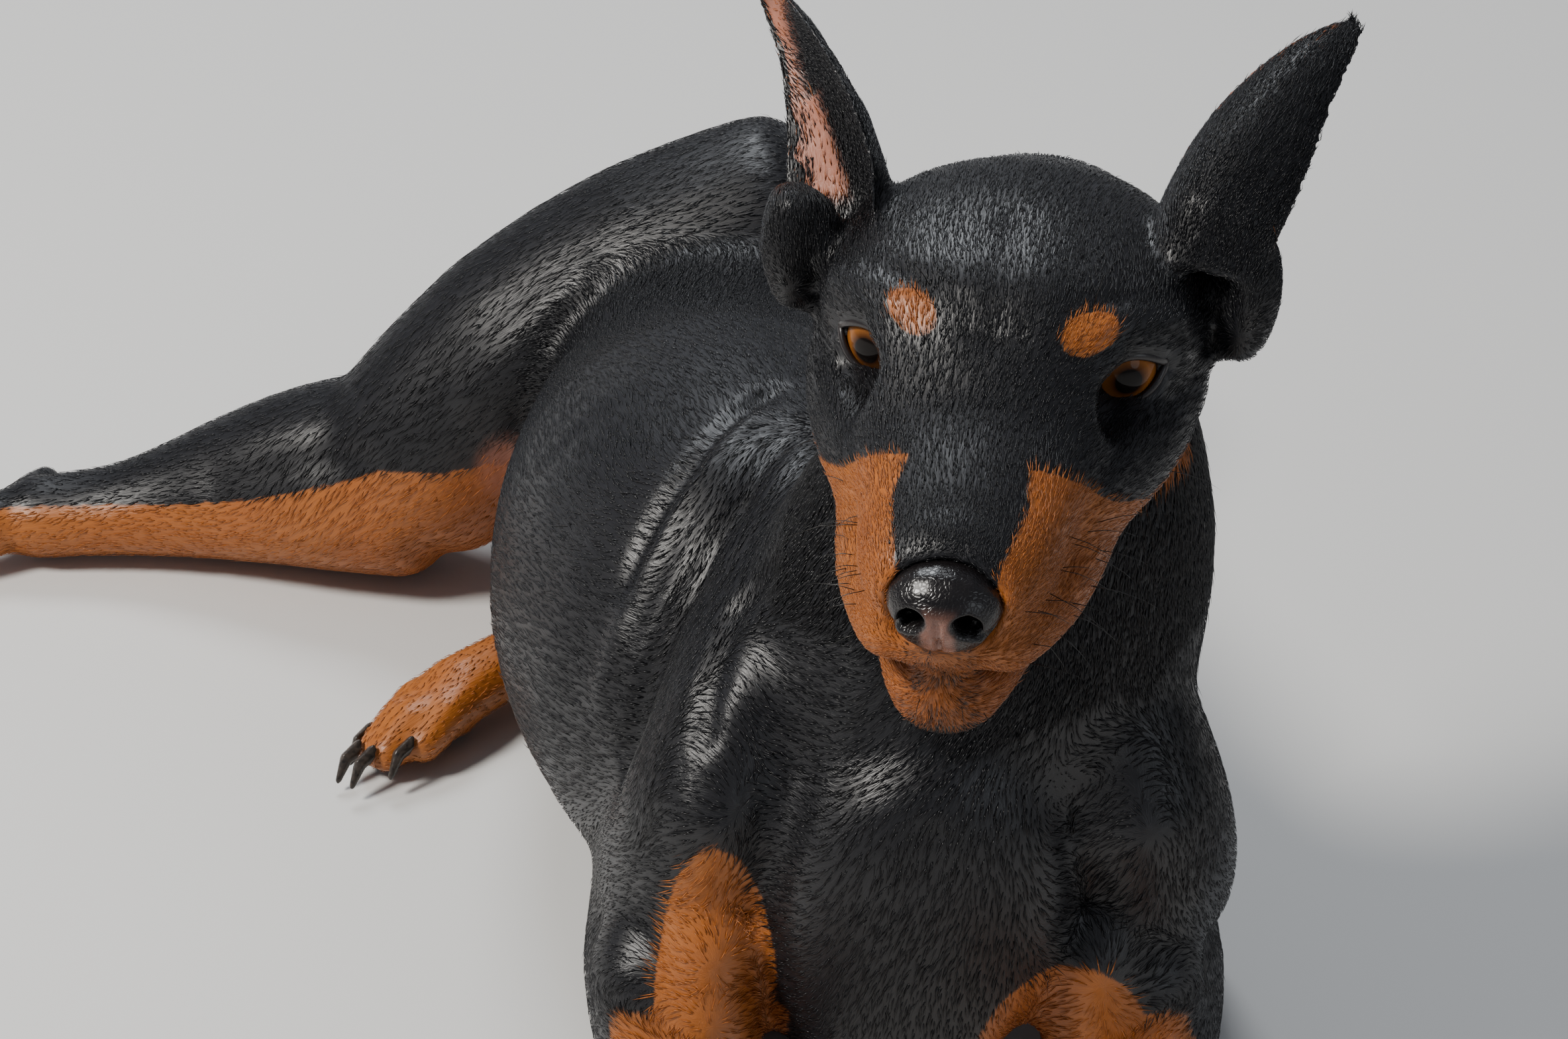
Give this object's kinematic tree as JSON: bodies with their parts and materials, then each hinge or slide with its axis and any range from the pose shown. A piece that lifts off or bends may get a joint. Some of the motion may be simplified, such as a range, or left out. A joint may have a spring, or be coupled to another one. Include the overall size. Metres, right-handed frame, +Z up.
{
  "type": "miniature pinscher dog",
  "caption": "Life-size still model of a small smooth-coated black and tan dog lying down with its head raised, ears back and one hind leg stretched out sideways.",
  "frame": {"origin": "on the floor plane under the front of the breastbone, in the flat where the chest rests", "axes": "+Z up; the dog faces -Y; its left side is towards +X and its stretched right hind leg points to -X"},
  "size_m": [0.416, 0.4452, 0.2356],
  "materials": {
    "coat_black": "short glossy black hair",
    "coat_tan": "short rust tan hair",
    "nose_leather": "moist pebbled black skin",
    "claw_horn": "dark worn horn",
    "eye": "wet amber brown eye"
  },
  "bodies": {
    "root": {"head": "coat_black", "lower_jaw": "coat_tan", "nose": "nose_leather", "right_ear": "coat_black", "right_eye": "eye", "left_ear": "coat_black", "left_eye": "eye", "chest": "coat_black", "belly": "coat_black", "rump": "coat_black", "neck": "coat_black", "right_upper_arm": "coat_black", "right_forearm": "coat_tan", "right_front_paw": "coat_tan", "right_front_claw_outer": "claw_horn", "right_front_claw_mid_outer": "claw_horn", "right_front_claw_mid_inner": "claw_horn", "right_front_claw_inner": "claw_horn", "left_upper_arm": "coat_black", "left_forearm": "coat_tan", "left_front_paw": "coat_tan", "left_front_claw_outer": "claw_horn", "left_front_claw_mid_outer": "claw_horn", "left_front_claw_mid_inner": "claw_horn", "left_front_claw_inner": "claw_horn", "right_thigh": "coat_black", "right_shank": "coat_tan", "right_hind_paw": "coat_tan", "right_hind_claw_outer": "claw_horn", "right_hind_claw_mid_outer": "claw_horn", "right_hind_claw_mid_inner": "claw_horn", "right_hind_claw_inner": "claw_horn", "left_thigh": "coat_black", "left_shank": "coat_tan", "left_hind_paw": "coat_tan", "left_hind_claw_outer": "claw_horn", "left_hind_claw_mid_outer": "claw_horn", "left_hind_claw_mid_inner": "claw_horn", "left_hind_claw_inner": "claw_horn", "tail": "coat_black"}
  },
  "joints": []
}
